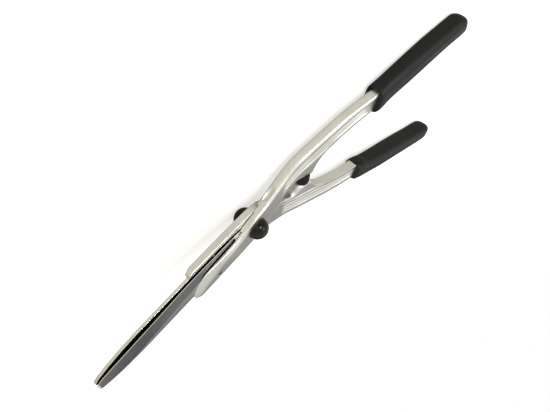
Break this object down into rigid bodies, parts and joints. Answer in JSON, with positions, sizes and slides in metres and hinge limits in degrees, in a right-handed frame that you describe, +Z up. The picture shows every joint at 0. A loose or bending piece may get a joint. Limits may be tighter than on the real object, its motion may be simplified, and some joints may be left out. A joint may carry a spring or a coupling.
{
  "type": "hedge shears",
  "caption": "Two-handed hedge shears with straight blades, cast aluminium arms cranked off the blade plane, black rubber grips, domed pivot covers and a rubber stop buffer.",
  "frame": {"origin": "on the ground under the middle of the shears' overall box, as they lie at rest on the rear pivot cover and both grips", "axes": "+X from the blade tips to the grip ends, +Y towards the handle of the upper arm, +Z up; the blades point up 10.8 degrees from the ground towards -X"},
  "size_m": [0.599, 0.2498, 0.0747],
  "materials": {
    "arm": "forged and satin polished",
    "blade": "ground",
    "steel": "zinc plated",
    "spring": "oiled spring steel",
    "bronze": "sintered bronze",
    "grip": "soft satin",
    "buffer": "matt",
    "cap": "gloss",
    "seat": "satin",
    "nylon": "moulded"
  },
  "bodies": {
    "lower_half": {"arm_lower": "arm", "blade_lower": "blade", "grip_lower": "grip", "pivot_bush": "bronze", "pivot_bolt": "steel", "washer_front": "steel", "disc_spring_inner": "spring", "disc_spring_outer": "spring", "pivot_nut": "steel", "nut_locking_ring": "nylon", "cap_seat_front": "seat", "cap_seat_rear": "seat", "cap_front": "cap", "cap_rear": "cap", "blade_screw_lower": "steel", "screw_washer_lower": "spring"},
    "upper_half": {"arm_upper": "arm", "blade_upper": "blade", "grip_upper": "grip", "rubber_buffer": "buffer", "blade_screw_upper": "steel", "screw_washer_upper": "spring"}
  },
  "joints": [
    {"name": "pivot", "type": "hinge", "parent": "lower_half", "child": "upper_half", "pos_m": [-0.04922, 0, 0.02325], "axis": [0.1874, 0, 0.9823], "range_deg": [0, 45]}
  ]
}
